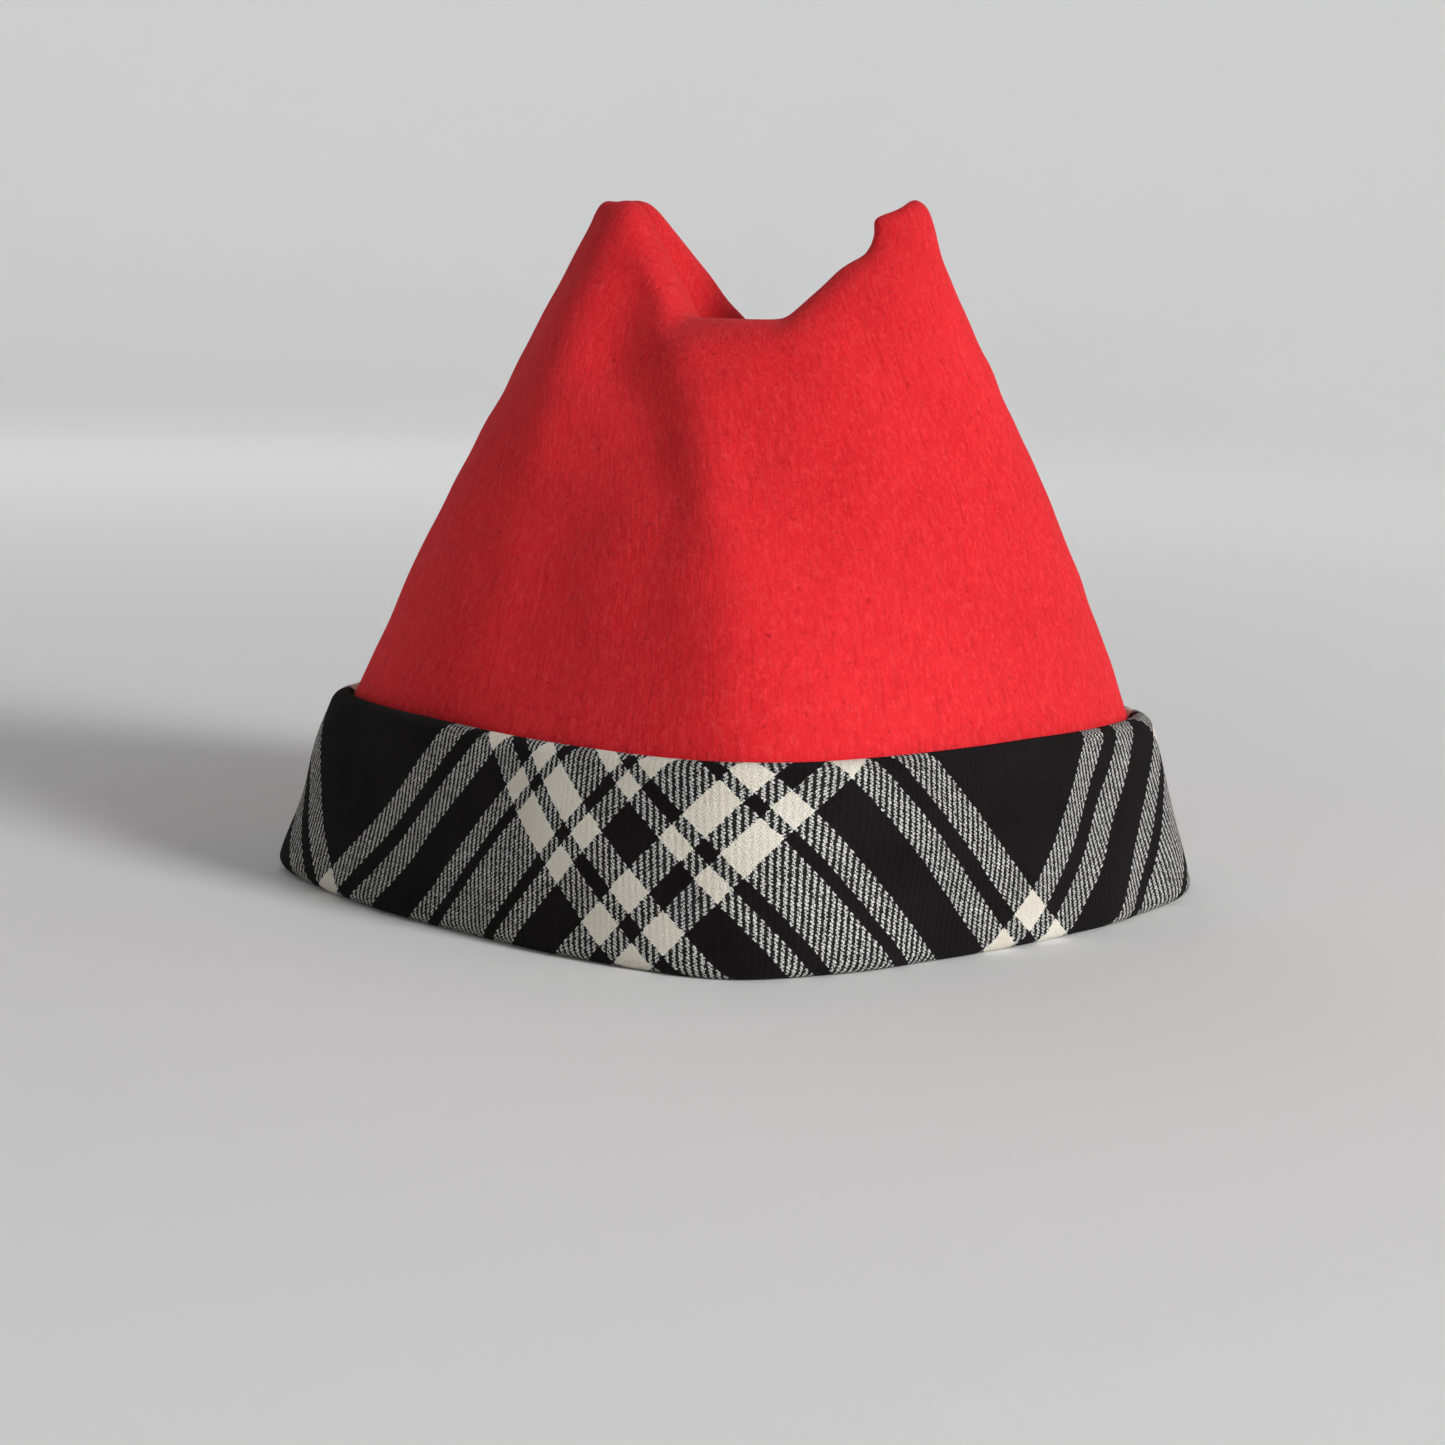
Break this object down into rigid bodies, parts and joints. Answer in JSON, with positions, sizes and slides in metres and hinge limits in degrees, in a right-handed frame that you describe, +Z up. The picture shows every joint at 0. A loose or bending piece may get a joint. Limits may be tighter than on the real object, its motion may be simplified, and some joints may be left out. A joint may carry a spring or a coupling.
{
  "type": "two-peaked wool hat with a turned-up plaid cuff",
  "caption": "Soft red wool hat with a peak at each side, a sagging saddle between them and a turned-up black and white plaid cuff, open below for the head.",
  "frame": {"origin": "middle of the rim, in the plane that the hat rests on", "axes": "+X towards the right peak as the picture shows it, +Y towards the back, +Z up"},
  "size_m": [0.2102, 0.2062, 0.1578],
  "materials": {
    "red_wool": "matt, fulled and lightly brushed",
    "plaid_wool": "matt two-colour twill, cut on the bias"
  },
  "bodies": {
    "root": {"crown": "red_wool", "cuff": "plaid_wool"}
  },
  "joints": []
}
